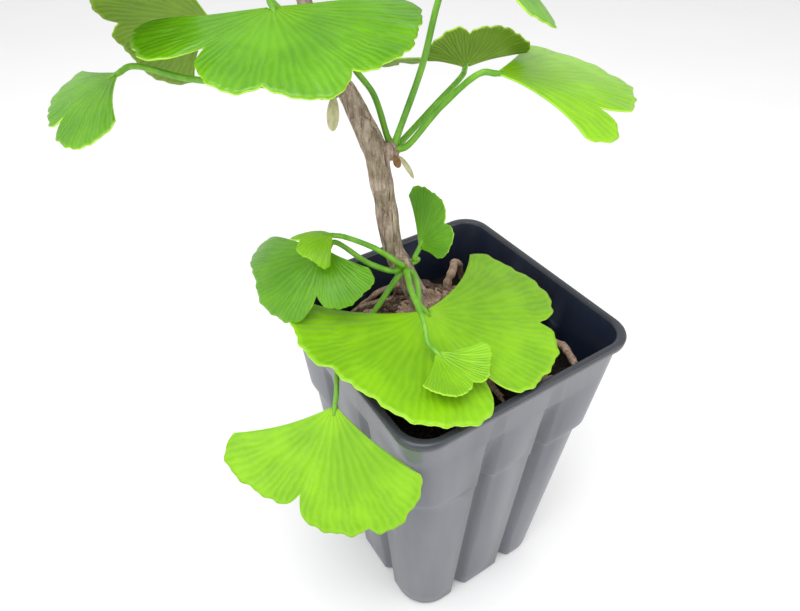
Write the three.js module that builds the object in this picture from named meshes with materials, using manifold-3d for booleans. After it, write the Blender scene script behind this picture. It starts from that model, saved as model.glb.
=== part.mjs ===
// A young ginkgo in a deep square nursery pot. Millimetres, +Z up.
// Origin: centre of the pot's underside, where it stands. +X and +Y are square to the pot's walls.
// The pot is one moulding. It holds a block of potting soil, out of which the trunk stands on bare,
// raised roots. Leaves grow in tufts from short spurs on the trunk, each leaf with its own stalk.
import * as THREE from "three";
import { mergeVertices } from "three/addons/utils/BufferGeometryUtils.js";
import Module from "manifold-3d";

const wasm = await Module();
wasm.setup();

// ---------------------------------------------------------------- driving dimensions
const POT_TOP = 100; // outside width over the rim
const POT_HEIGHT = 144;
const POT_FOOT = 74.5; // outside width at the base, before the shoulder's step
const WALL = 1.5;
const RIM_PROUD = 1.6; // how far the rolled rim stands out from the wall
const RIM_HEIGHT = 3.5;
const SHOULDER = 96; // below this height the corners are cut back, so that pots stack
const SHOULDER_STEP = 0.6;
const CORNER_TOP = 11; // outside corner radii: above the shoulder, just below it, at the foot
const CORNER_BELOW = 16;
const CORNER_FOOT = 14;
const FLUTE_TOP = 126;
const FLUTE_FADE = 24; // height over which the flutes sink to their full depth
const FLUTE_WIDTH = 8.6;
const FLUTE_DEPTH = 4.8;
const FLUTE_OFFSET = 13.3; // flute centres, either side of the middle of each wall
const FLOOR = 3; // thickness of the pot's floor
const DRAIN_RADIUS = 6;
const DRAIN_OFFSET = 19;
const SOIL_TOP = 119;
const SOIL_BUMP = 1.6;
const GAP = 0.3; // clearance between pieces that touch
const BLADE = 0.8; // thickness of a leaf blade
const STALK = 1.05; // radius of a leaf stalk at its middle

const COLOURS = {
  pot: [0x4b4e54, 0.45],
  soil: [0x1d1612, 0.95],
  bark: [0x9a8472, 0.85],
  root: [0x8f7360, 0.85],
  leaf: [0x74c40a, 0.5],
  scale: [0x7a4326, 0.8],
  paleScale: [0xc3cf86, 0.6],
};

// ---------------------------------------------------------------- helpers
const v3 = (a) => new THREE.Vector3(...a);
const lerp = THREE.MathUtils.lerp;
const rad = THREE.MathUtils.degToRad;

// Moves every vertex of a three.js geometry with `place`, and merges what then coincides.
function shaped(geometry, place) {
  geometry.deleteAttribute("normal");
  geometry.deleteAttribute("uv");
  const position = geometry.getAttribute("position");
  const p = new THREE.Vector3();
  for (let i = 0; i < position.count; i++) {
    p.fromBufferAttribute(position, i);
    const q = place(p, i);
    position.setXYZ(i, q.x, q.y, q.z);
  }
  return mergeVertices(geometry, 1e-3);
}

// A closed geometry as a manifold-3d solid, and back.
function solid(geometry) {
  const made = new wasm.Manifold(
    new wasm.Mesh({
      numProp: 3,
      vertProperties: new Float32Array(geometry.getAttribute("position").array),
      triVerts: new Uint32Array(geometry.index.array),
    }),
  );
  if (made.volume() >= 0) return made;
  const index = geometry.index.array.slice();
  for (let i = 0; i < index.length; i += 3) [index[i], index[i + 1]] = [index[i + 1], index[i]];
  return solid(geometry.clone().setIndex(new THREE.BufferAttribute(index, 1)));
}

function geometryOf(made) {
  const mesh = made.getMesh();
  return new THREE.BufferGeometry()
    .setAttribute("position", new THREE.BufferAttribute(mesh.vertProperties, 3))
    .setIndex(new THREE.BufferAttribute(mesh.triVerts, 1));
}

const group = new THREE.Group();
group.name = "potted_ginkgo";

function add(name, look, made, parent = group) {
  const [colour, roughness] = COLOURS[look];
  const material = new THREE.MeshStandardMaterial({ color: colour, roughness, metalness: 0 });
  const mesh = new THREE.Mesh(geometryOf(made), material);
  mesh.name = name;
  parent.add(mesh);
}

// A round stem that follows points, with a radius at each point: a cylinder bent along the curve.
function stem(points, radii, { sides = 8, steps = 8, extra = 0, knots = 0 } = {}) {
  const curve = new THREE.CatmullRomCurve3(points.map(v3), false, "centripetal");
  const frames = curve.computeFrenetFrames(steps, false);
  const unit = new THREE.CylinderGeometry(1, 1, 1, sides, steps, false);
  const made = shaped(unit, (p) => {
    const k = Math.round((0.5 - p.y) * steps);
    const t = k / steps;
    const past = k === 0 ? -extra : k === steps ? extra : 0;
    const at = t * (radii.length - 1);
    const i = Math.min(Math.floor(at), radii.length - 2);
    const knobbly = 1 + knots * Math.sin(2.4 * k + 3 * Math.atan2(p.z, p.x));
    const r = lerp(radii[i], radii[i + 1], at - i) * knobbly + extra;
    return curve
      .getPoint(t)
      .addScaledVector(frames.tangents[k], past)
      .addScaledVector(frames.normals[k], p.x * r)
      .addScaledVector(frames.binormals[k], p.z * r);
  });
  return solid(made);
}

// ---------------------------------------------------------------- pot and soil
// Stations round one side of the pot, as shares of the way from one corner's arc to the next.
const ARC_STEPS = 4;
const FLUTE_STATIONS = [-1, -0.55, 0, 0.55, 1];

// The pot's outline at one level: a square with round corners and two flutes sunk in each side.
function outline(half, corner, flute) {
  const points = [];
  const straight = half - corner;
  for (let side = 0; side < 4; side++) {
    const turn = (side * Math.PI) / 2;
    const place = (x, y) =>
      points.push(new THREE.Vector2(x, y).rotateAround(new THREE.Vector2(), turn));
    for (let k = 0; k <= ARC_STEPS; k++) {
      const a = -Math.PI / 2 + (k / ARC_STEPS) * (Math.PI / 2);
      place(straight + corner * Math.cos(a), -straight + corner * Math.sin(a));
    }
    for (const centre of [-FLUTE_OFFSET, FLUTE_OFFSET])
      for (const s of FLUTE_STATIONS) {
        const depth = flute * Math.cos((s * Math.PI) / 2);
        place(half - depth, centre + (s * FLUTE_WIDTH) / 2);
      }
  }
  return points;
}

const STATIONS = outline(POT_TOP / 2, CORNER_TOP, 0).length;
const LEAST_CORNER = 3; // inside corners are never sharper than this

// Half the outside width of the wall at height z, its corner radius and how deep its flutes are.
function wallAt(z) {
  const t = z / POT_HEIGHT;
  const below = z < SHOULDER;
  const fade = THREE.MathUtils.clamp((FLUTE_TOP - z) / FLUTE_FADE, 0, 1);
  return {
    half: lerp(POT_FOOT / 2, POT_TOP / 2 - RIM_PROUD, t) - (below ? SHOULDER_STEP : 0),
    corner: below ? lerp(CORNER_FOOT, CORNER_BELOW, t) : CORNER_TOP,
    flute: FLUTE_DEPTH * Math.sqrt(fade),
  };
}

// A closed solid lofted through outlines. Each row is [height, how far in from the wall's outside, share of
// its full size, how far it stands out as a rim]. A row with no size is a point on the axis.
function levels(rows) {
  const profile = rows.map(([z]) => new THREE.Vector2(1, z));
  const lathe = new THREE.LatheGeometry(profile, STATIONS);
  const rings = rows.map(([z, inward, share, proud = 0]) => {
    if (!share) return null;
    const { half, corner, flute } = wallAt(z);
    const wide = half - inward + proud;
    const flat = outline(wide, Math.max(corner - inward, LEAST_CORNER), proud ? 0 : flute);
    return flat.map((p) => p.multiplyScalar(share));
  });
  return solid(
    shaped(lathe, (p, i) => {
      const row = i % rows.length;
      const station = Math.floor(i / rows.length) % STATIONS;
      const ring = rings[row];
      const xy = ring ? ring[station] : new THREE.Vector2();
      return new THREE.Vector3(xy.x, xy.y, rows[row][0]);
    }),
  );
}

// Heights at which the wall's outline is set, from the floor up.
const WALL_LEVELS = [SHOULDER - 0.01, SHOULDER + 2, 107, SOIL_TOP - 1.5, 123, FLUTE_TOP];

function pot() {
  const lip = POT_HEIGHT - RIM_HEIGHT;
  const outside = [
    [0, 0, 0],
    [0, 2.2, 1],
    [0.7, 0.7, 1],
    [2.4, 0, 1],
    ...WALL_LEVELS.map((z) => [z, 0, 1]),
    [lip - 0.6, 0, 1],
    [lip, 0, 1, RIM_PROUD - 0.3],
    [lip + 0.8, 0, 1, RIM_PROUD],
    [POT_HEIGHT - 0.8, 0, 1, RIM_PROUD],
    [POT_HEIGHT, 0, 1, RIM_PROUD - 0.8],
  ];
  const inside = [
    [POT_HEIGHT, WALL - 0.7, 1],
    [POT_HEIGHT - 0.8, WALL, 1],
    ...WALL_LEVELS.map((z) => [z, WALL, 1]).reverse(),
    [FLOOR, WALL, 1],
    [FLOOR, 0, 0],
  ];
  let made = levels([...outside, ...inside]);
  const hole = new THREE.CylinderGeometry(DRAIN_RADIUS, DRAIN_RADIUS, 4 * FLOOR, 16).rotateX(Math.PI / 2);
  const drain = shaped(hole, (p) => p);
  for (const x of [-DRAIN_OFFSET, DRAIN_OFFSET])
    for (const y of [-DRAIN_OFFSET, DRAIN_OFFSET])
      made = made.subtract(solid(drain.clone().translate(x, y, 0)));
  return made;
}

function soilBlock() {
  const inward = WALL + GAP;
  const below = WALL_LEVELS.filter((z) => z < SOIL_TOP).reverse();
  return levels([
    [SOIL_TOP + SOIL_BUMP, 0, 0],
    [SOIL_TOP + SOIL_BUMP, inward, 0.45],
    [SOIL_TOP, inward, 0.86],
    ...below.map((z) => [z, inward, 1]),
    [FLOOR + GAP, inward, 1],
    [FLOOR + GAP, 0, 0],
  ]);
}

// ---------------------------------------------------------------- trunk and roots
const TRUNK_PATH = [
  [0, 2, 121],
  [-6, 6.5, 142],
  [-13, 10.5, 160],
  [-17, 13, 173],
  [-19.5, 14.5, 195],
  [-21.5, 16, 210],
  [-28, 20, 228],
  [-34, 24, 241],
  [-37, 26, 255],
  [-38.5, 28, 268],
];
const TRUNK_RADII = [5.4, 4.6, 3.9, 3.8, 3.9, 4.2, 3.2, 2.8, 2.3, 1.8];

// Short woody knobs, out of which the leaf stalks grow: where, and how big.
const SPURS = {
  low: { at: [-15, 8, 166], radius: 3.2 },
  mid: { at: [-17, 12, 210], radius: 2.8 },
  upper: { at: [-33, 18.5, 232], radius: 2.8 },
  top: { at: [-38.5, 28, 268], radius: 2.6 },
};

// Raised roots that run from under the trunk into the soil.
const TRUNK_ROOTS = [
  { points: [[-4, 5, 146], [-11, -1, 138], [-17, -9, 128], [-20, -14, 116]], radii: [3.4, 3, 2.4, 1.8] },
  { points: [[-5, 4, 148], [-3, -5, 137], [1, -14, 127], [3, -20, 116]], radii: [3.2, 2.8, 2.3, 1.8] },
  { points: [[-3, 6, 146], [6, 3, 140], [14, -2, 130], [20, -5, 116]], radii: [3.4, 2.8, 2.3, 1.7] },
  { points: [[-4, 7, 147], [0, 15, 140], [4, 22, 130], [7, 27, 116]], radii: [3.2, 2.7, 2.2, 1.7] },
  { points: [[-6, 7, 146], [-14, 11, 138], [-22, 16, 128], [-27, 20, 116]], radii: [3.0, 2.5, 2.1, 1.6] },
];

function trunk(extra = 0) {
  let made = stem(TRUNK_PATH, TRUNK_RADII, { sides: 10, steps: 16, knots: 0.04, extra });
  for (const root of TRUNK_ROOTS)
    made = made.add(stem(root.points, root.radii, { sides: 7, steps: 6, knots: 0.06, extra }));
  for (const { at, radius } of Object.values(SPURS)) {
    const knob = shaped(new THREE.SphereGeometry(radius + extra, 10, 8), (p) => p.add(v3(at)));
    made = made.add(solid(knob));
  }
  return made;
}

// Loose roots that loop over the soil, clear of the trunk.
const LOOSE_ROOTS = {
  root_loop_right: { points: [[26, -12, 117], [33, -17, 124], [38, -26, 126], [37, -35, 123], [31, -38, 117]], r: 1.5 },
  root_right_low: { points: [[14, -30, 117], [21, -34, 123], [27, -38, 124], [33, -41, 117]], r: 1.3 },
  root_back_tall: { points: [[14, 22, 117], [19, 26, 130], [26, 31, 136], [33, 36, 130], [38, 39, 117]], r: 1.6 },
  root_back_cross: { points: [[28, 8, 117], [34, 14, 127], [39, 22, 130], [40, 30, 126], [38, 34, 117]], r: 1.4 },
  root_back_low: { points: [[16, 8, 118], [22, 14, 126], [24, 22, 128], [17, 33, 122], [11, 38, 117]], r: 1.4 },
  root_left_fork: { points: [[-40, 30, 117], [-36, 22, 127], [-30, 12, 126], [-26, 4, 117]], r: 1.5 },
  root_left_back: { points: [[-24, 38, 117], [-18, 33, 126], [-12, 30, 127], [-6, 33, 117]], r: 1.4 },
  root_front: { points: [[-34, -8, 117], [-31, -18, 124], [-24, -26, 124], [-16, -30, 117]], r: 1.4 },
};

function looseRoot({ points, r }, extra = 0) {
  return stem(points, [r * 0.9, r * 1.15, r, r * 0.8], { sides: 6, steps: 10, knots: 0.08, extra });
}

// ---------------------------------------------------------------- leaves
// Each leaf: base = where the stalk meets the blade; aim = compass bearing from +X, tilt and roll of
// the blade there, degrees; spread = the two sides' angles from the middle line; size = middle radius.
// notches = [angle, depth as a share, width]; lean makes one side longer; wave = lobes of the margin.
// droop, left and right are curvatures, 1/mm: tip downwards, and each side downwards.
// out = the way the stalk leaves its spur, bearing and tilt; via = points the stalk passes.
const LEAVES = {
  leaf_low_front: {
    spur: "low", out: [-72, -28], via: [[-14, 1, 160]], base: [-15.5, -6, 155], aim: [-93, -7, 6],
    spread: [-122, 118], size: 49, notches: [[-5, 0.42, 6], [-63, 0.14, 4], [75, 0.12, 12]],
    lean: 0.02, wave: [0.04, 1], droop: 0.002, left: 0.002, right: 0.001,
  },
  leaf_low_folded: {
    spur: "low", out: [-115, 5], via: [[-21, -5, 166], [-24, -17, 162]], base: [-26, -27, 157.5],
    aim: [-85, -12, 0], spread: [-66, 56], size: 19, notches: [[-6, 0.2, 8]],
    lean: 0, wave: [0.05, 2], droop: -0.01, left: -0.02, right: -0.02,
  },
  leaf_low_hanging: {
    spur: "low", out: [-165, -35], via: [[-31, 6, 151], [-50, -5, 150.5]], base: [-58.5, -16, 141],
    aim: [-135, -54, 0], spread: [-60, 66], size: 44, notches: [[15, 0.22, 6], [-22, 0.08, 5]],
    lean: 0, wave: [0.04, 3], droop: 0, left: -0.001, right: 0.002,
  },
  leaf_low_left: {
    spur: "low", out: [192, 5], via: [[-29, 9, 172]], base: [-41, 16, 178], aim: [-150, -16, 0],
    spread: [-92, 105], size: 28, notches: [[-12, 0.4, 10]],
    lean: -0.25, wave: [0.05, 1], droop: 0.032, left: 0.03, right: 0.02,
  },
  leaf_low_young: {
    spur: "low", out: [215, 40], via: [[-27, 8.5, 178]], base: [-39, 15, 184], aim: [175, 25, 0],
    spread: [-70, 70], size: 15, notches: [[0, 0.25, 8]],
    lean: 0, wave: [0.04, 2], droop: 0.05, left: 0.11, right: 0.11,
  },
  leaf_low_upright: {
    spur: "low", out: [-10, 15], via: [], base: [-10, 6.5, 172.4], aim: [0, 62, 0],
    spread: [-48, 82], size: 18.5, notches: [[20, 0.15, 6]],
    lean: 0.3, wave: [0.04, 4], droop: 0.01, left: -0.02, right: 0.03,
  },
  leaf_mid_right: {
    spur: "mid", out: [-55, 25], via: [[-7, 1, 226]], base: [2, -11.5, 238], aim: [-22, -7, 0],
    spread: [-60, 52], size: 48, notches: [[26, 0.34, 7]],
    lean: 0.25, wave: [0.04, 5], droop: 0.004, left: 0.004, right: 0.022,
  },
  leaf_mid_right_back: {
    spur: "mid", out: [5, 30], via: [[-3, 10, 222]], base: [8, 9.5, 232], aim: [-115, 52, 0],
    spread: [-66, 66], size: 19, notches: [[5, 0.2, 5]],
    lean: 0.1, wave: [0.04, 6], droop: -0.01, left: 0.008, right: 0.008,
  },
  leaf_mid_inner: {
    spur: "mid", out: [95, 50], via: [[-19, 20, 226]], base: [-20, 25, 234], aim: [22, -8, 18],
    spread: [-46, 52], size: 24, notches: [[0, 0.25, 5]],
    lean: 0, wave: [0.05, 7], droop: 0.012, left: 0.01, right: 0.01,
  },
  leaf_mid_high: {
    spur: "mid", out: [-40, 75], via: [[-9, 8.5, 236], [-5, 7, 254]], base: [3, 3, 268], aim: [-30, -30, 0],
    spread: [-64, 64], size: 31, notches: [[0, 0.4, 5]],
    lean: 0, wave: [0.04, 8], droop: 0.01, left: 0.01, right: 0.01,
  },
  leaf_upper_front: {
    spur: "upper", out: [-130, 50], via: [[-41, 15.5, 246]], base: [-50.5, 16, 257], aim: [-108, -8, 0],
    spread: [-108, 98], size: 37, notches: [[52, 0.36, 7], [12, 0.1, 6], [-25, 0.14, 6]],
    lean: 0.03, wave: [0.04, 2], droop: 0.006, left: 0.006, right: 0.006,
  },
  leaf_upper_left_back: {
    spur: "upper", out: [160, 50], via: [[-47, 29, 243]], base: [-60, 36, 250], aim: [150, 12, -58],
    spread: [-70, 75], size: 31, notches: [[10, 0.2, 5]],
    lean: 0, wave: [0.04, 3], droop: 0.008, left: 0.005, right: 0.005,
  },
  leaf_upper_far_left: {
    spur: "upper", out: [160, -10], via: [[-48, 29, 232], [-68, 42, 234]], base: [-85, 52, 236],
    aim: [180, -18, 0], spread: [-66, 70], size: 27, notches: [[-4, 0.3, 5]],
    lean: 0, wave: [0.04, 4], droop: 0.014, left: 0.01, right: 0.01,
  },
  leaf_upper_left_high: {
    spur: "top", out: [180, 25], via: [[-52, 31, 278], [-62, 34, 281]], base: [-72, 38, 280],
    aim: [175, -14, 0], spread: [-72, 72], size: 34, notches: [[0, 0.3, 5]],
    lean: 0, wave: [0.04, 5], droop: 0.014, left: 0.01, right: 0.01,
  },
  leaf_top_back: {
    spur: "top", out: [75, 35], via: [[-34, 42, 278]], base: [-28, 54, 281], aim: [70, -14, 0],
    spread: [-76, 76], size: 36, notches: [[4, 0.35, 5]],
    lean: 0, wave: [0.04, 6], droop: 0.012, left: 0.008, right: 0.008,
  },
  leaf_top_right: {
    spur: "top", out: [-15, 45], via: [[-28, 25, 284]], base: [-18, 23, 290], aim: [-12, -6, 0],
    spread: [-72, 72], size: 32, notches: [[-3, 0.3, 5]],
    lean: 0, wave: [0.04, 7], droop: 0.014, left: 0.008, right: 0.008,
  },
  leaf_top_young: {
    spur: "top", out: [-120, 75], via: [[-41, 25, 281]], base: [-44, 22, 290], aim: [-130, 40, 0],
    spread: [-58, 58], size: 18, notches: [[0, 0.25, 6]],
    lean: 0, wave: [0.04, 8], droop: 0.02, left: 0.05, right: 0.05,
  },
};

const BLADE_ACROSS = 12;
const BLADE_ALONG = 3;
const BLADE_START = 1.4; // the blade begins this far from the end of the stalk

// The blade's own axes: x to its right, y along its middle line, z out of its upper face.
function bladeAxes([bearing, tilt, roll]) {
  const y = direction(bearing, tilt);
  const x = new THREE.Vector3().crossVectors(y, new THREE.Vector3(0, 0, 1)).normalize();
  x.applyAxisAngle(y, -rad(roll));
  return new THREE.Matrix4().makeBasis(x, y, new THREE.Vector3().crossVectors(x, y));
}

function direction(bearing, tilt) {
  return new THREE.Vector3(1, 0, 0)
    .applyAxisAngle(new THREE.Vector3(0, 1, 0), -rad(tilt))
    .applyAxisAngle(new THREE.Vector3(0, 0, 1), rad(bearing));
}

// How far the margin is from the stalk's end at an angle from the middle line.
function margin(leaf, angle) {
  const [from, to] = leaf.spread;
  const [height, seed] = leaf.wave;
  let r = leaf.size * (1 - (leaf.lean * angle) / 60);
  r *= 1 + height * Math.sin(rad(angle) * 4 + seed) + 0.5 * height * Math.sin(rad(angle) * 9 + 2 * seed);
  for (const [at, depth, width] of leaf.notches) r *= 1 - depth * Math.exp(-Math.abs(angle - at) / width);
  return r * (1 - 0.16 * Math.exp(-Math.min(angle - from, to - angle) / 6));
}

// Angles of the blade's ribs: evenly spread, with one moved onto the bottom of each notch.
function ribs(leaf) {
  const [from, to] = leaf.spread;
  const angles = Array.from({ length: BLADE_ACROSS + 1 }, (_, i) => lerp(from, to, i / BLADE_ACROSS));
  for (const [at] of leaf.notches) {
    const i = Math.round(((at - from) / (to - from)) * BLADE_ACROSS);
    angles[i] = at;
  }
  return angles;
}

// Where a point of the flat blade goes once the tip droops and the sides roll.
function curled(leaf, x, y, z) {
  const across = (x < 0 ? leaf.left : leaf.right) || 1e-6;
  const along = leaf.droop || 1e-6;
  const side = Math.abs(x) * across;
  const out = Math.sign(x) * (Math.sin(side) / across + z * Math.sin(side));
  const lift = z * Math.cos(side) - (1 - Math.cos(side)) / across;
  const bend = y * along;
  return new THREE.Vector3(
    out,
    Math.sin(bend) / along + lift * Math.sin(bend),
    lift * Math.cos(bend) - (1 - Math.cos(bend)) / along,
  );
}

function blade(leaf) {
  const angles = ribs(leaf);
  const box = new THREE.BoxGeometry(BLADE_ACROSS, BLADE_ALONG, 1, BLADE_ACROSS, BLADE_ALONG, 1);
  return shaped(box, (p) => {
    const angle = angles[Math.round(p.x + BLADE_ACROSS / 2)];
    const share = (p.y + BLADE_ALONG / 2) / BLADE_ALONG;
    const r = lerp(BLADE_START, margin(leaf, angle), share);
    const a = rad(angle) * lerp(0.84, 1, share);
    return curled(leaf, r * Math.sin(a), r * Math.cos(a), p.z * BLADE);
  });
}

function leafSolid(leaf) {
  const axes = bladeAxes(leaf.aim);
  const base = v3(leaf.base);
  const ahead = direction(leaf.aim[0], leaf.aim[1]);
  const placed = blade(leaf).applyMatrix4(axes.setPosition(base));
  const spur = SPURS[leaf.spur];
  const fromSpur = (distance) => v3(spur.at).addScaledVector(direction(...leaf.out), spur.radius + distance);
  const fromBase = (distance) => base.clone().addScaledVector(ahead, distance);
  const path = [fromSpur(GAP), fromSpur(2), ...leaf.via.map(v3), fromBase(-4), base, fromBase(3)];
  const points = path.map((p) => p.toArray());
  const radii = [STALK, STALK, STALK * 0.9, STALK * 0.8];
  return solid(placed).add(stem(points, radii, { sides: 6, steps: 9 }));
}

// ---------------------------------------------------------------- bud scales
// Papery scales left round the spurs: from the middle of a spur, a bearing and tilt, length and width.
const BUD_SCALES = {
  bud_scale_low: { spur: "low", out: [-105, -62], long: 5, wide: 2.6, look: "scale" },
  bud_scale_mid: { spur: "mid", out: [-110, -15], long: 5, wide: 2.8, look: "scale" },
  bud_scale_mid_pale: { spur: "mid", out: [-40, -48], long: 9, wide: 3.4, look: "paleScale" },
  bud_scale_upper: { spur: "upper", out: [-150, -5], long: 5, wide: 2.8, look: "scale" },
  bud_scale_upper_pale: { spur: "upper", out: [-130, -50], long: 10, wide: 4.2, look: "paleScale" },
  bud_scale_top: { spur: "top", out: [-60, 10], long: 4.5, wide: 2.6, look: "scale" },
};

// A scale is a flattened, pointed drop that hangs more steeply towards its tip.
function budScale({ spur, out, long, wide }) {
  const { at, radius } = SPURS[spur];
  const axes = bladeAxes([...out, 0]);
  const start = v3(at).addScaledVector(direction(...out), radius + GAP);
  const drop = shaped(new THREE.SphereGeometry(1, 8, 8), (p) => {
    const share = (1 - p.y) / 2;
    const fat = Math.sqrt(share) * 0.4 + 0.6;
    return new THREE.Vector3(
      (p.x * wide * fat) / 2,
      long * share,
      p.z * 0.9 - 0.06 * long * share * share * long * 0.3,
    );
  });
  return solid(drop.applyMatrix4(axes.setPosition(start)));
}

// ---------------------------------------------------------------- the object
add("nursery_pot", "pot", pot());
let soil = soilBlock().subtract(trunk(GAP));
for (const root of Object.values(LOOSE_ROOTS)) soil = soil.subtract(looseRoot(root, GAP));
add("potting_soil", "soil", soil);
add("trunk", "bark", trunk());
for (const [name, root] of Object.entries(LOOSE_ROOTS)) add(name, "root", looseRoot(root));
for (const [spurName, spur] of Object.entries(SPURS)) {
  const tuft = new THREE.Group();
  tuft.name = `tuft_${spurName}`;
  tuft.position.set(...spur.at);
  group.add(tuft);
  const toSpur = spur.at.map((x) => -x);
  for (const [name, scale] of Object.entries(BUD_SCALES))
    if (scale.spur === spurName) add(name, scale.look, budScale(scale).translate(toSpur), tuft);
  for (const [name, leaf] of Object.entries(LEAVES))
    if (leaf.spur === spurName) add(name, "leaf", leafSolid(leaf).translate(toSpur), tuft);
}

export default group;
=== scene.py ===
# %% [markdown]
# # A young ginkgo in a square nursery pot
#
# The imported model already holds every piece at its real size. This lesson keeps those places and gives
# each piece the fine surface that a simple solid can't have: a thin moulded pot, crumbly soil, cracked
# bark, wrinkled roots and veined leaves. Everything is in metres, with +Z up.

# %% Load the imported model
import math
import random

import bmesh
import bpy
from mathutils import Matrix, Vector, noise


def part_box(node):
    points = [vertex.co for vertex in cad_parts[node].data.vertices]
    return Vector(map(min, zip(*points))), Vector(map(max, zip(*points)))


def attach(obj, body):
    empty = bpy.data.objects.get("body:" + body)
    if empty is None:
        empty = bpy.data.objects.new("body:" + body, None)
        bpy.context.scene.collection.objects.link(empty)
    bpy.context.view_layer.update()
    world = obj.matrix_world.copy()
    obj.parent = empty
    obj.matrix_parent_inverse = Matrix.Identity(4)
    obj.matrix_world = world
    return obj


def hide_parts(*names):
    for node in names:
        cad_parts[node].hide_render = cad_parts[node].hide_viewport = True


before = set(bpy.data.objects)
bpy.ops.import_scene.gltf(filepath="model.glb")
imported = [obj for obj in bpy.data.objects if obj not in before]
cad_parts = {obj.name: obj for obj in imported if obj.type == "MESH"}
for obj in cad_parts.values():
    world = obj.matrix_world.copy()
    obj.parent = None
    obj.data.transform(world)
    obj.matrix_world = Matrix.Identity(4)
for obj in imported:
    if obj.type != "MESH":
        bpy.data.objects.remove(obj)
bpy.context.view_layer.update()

MM = 0.001
NOISE_SEED = 5
noise.seed_set(NOISE_SEED)  # vector noise would start from the clock otherwise

# %% [markdown]
# ## Camera
#
# Someone standing over the pot sees into it and still sees two of its walls. The camera's place
# is given here, and it is turned so that its -Z axis looks along the line of sight. A lens of about
# 29 mm stands quite close, which makes the pot narrow quickly towards its foot.

# %% Camera
CAMERA_PLACE = Vector((-119.4, -148.4, 305.7)) * MM
CAMERA_BEARING = math.radians(56.8)
CAMERA_DOWN = math.radians(40.1)
CAMERA_LENS = 29.34


def direction(bearing, tilt):
    """The unit vector at a compass bearing from +X and a tilt above the horizon, in degrees."""
    b, t = math.radians(bearing), math.radians(tilt)
    return Vector((math.cos(t) * math.cos(b), math.cos(t) * math.sin(b), math.sin(t)))


camera = bpy.data.objects.new("camera", bpy.data.cameras.new("camera"))
camera.data.lens = CAMERA_LENS
camera.data.clip_start = 0.01
camera.location = CAMERA_PLACE
sight = direction(math.degrees(CAMERA_BEARING), -math.degrees(CAMERA_DOWN))
camera.rotation_euler = sight.to_track_quat("-Z", "Y").to_euler()
bpy.context.scene.collection.objects.link(camera)
bpy.context.scene.camera = camera
print("camera looks along", [round(x, 3) for x in sight])

# %% [markdown]
# ## Floor and light
#
# A white table under a big soft lamp gives the plain look of a plant catalogue. Area lamps are used rather
# than a sun because their wide faces blur the edges of shadows. The floor is a stage, not part of the
# plant.

# %% Floor and light


def lamp(name, place, aim, size, power):
    data = bpy.data.lights.new(name, "AREA")
    data.size = size
    data.energy = power
    lamp_object = bpy.data.objects.new(name, data)
    lamp_object.location = place
    lamp_object.rotation_euler = (Vector(aim) - Vector(place)).to_track_quat("-Z", "Y").to_euler()
    bpy.context.scene.collection.objects.link(lamp_object)


lamp("lamp_top", (-0.25, -0.15, 1.1), (0, 0, 0.15), 0.8, 8.0)
lamp("lamp_left", (-0.9, -0.2, 0.6), (0, 0, 0.12), 0.7, 2.6)
lamp("lamp_right", (0.6, -0.8, 0.45), (0, 0, 0.08), 0.7, 2.4)
world = bpy.data.worlds.new("studio")
world.use_nodes = True
world.node_tree.nodes["Background"].inputs["Color"].default_value = (1, 1, 1, 1)
world.node_tree.nodes["Background"].inputs["Strength"].default_value = 0.8
bpy.context.scene.world = world
bpy.context.scene.view_settings.view_transform = "Standard"
print("three soft lamps and a white world")

# %% [markdown]
# ## A helper for materials
#
# Every finish here is a Principled shader fed by a few procedural nodes. Two small functions keep the
# node code short: one makes the material with its plain values on the shader's own sockets, the other
# adds a node and wires its inputs.

# %% Material helpers


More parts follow.
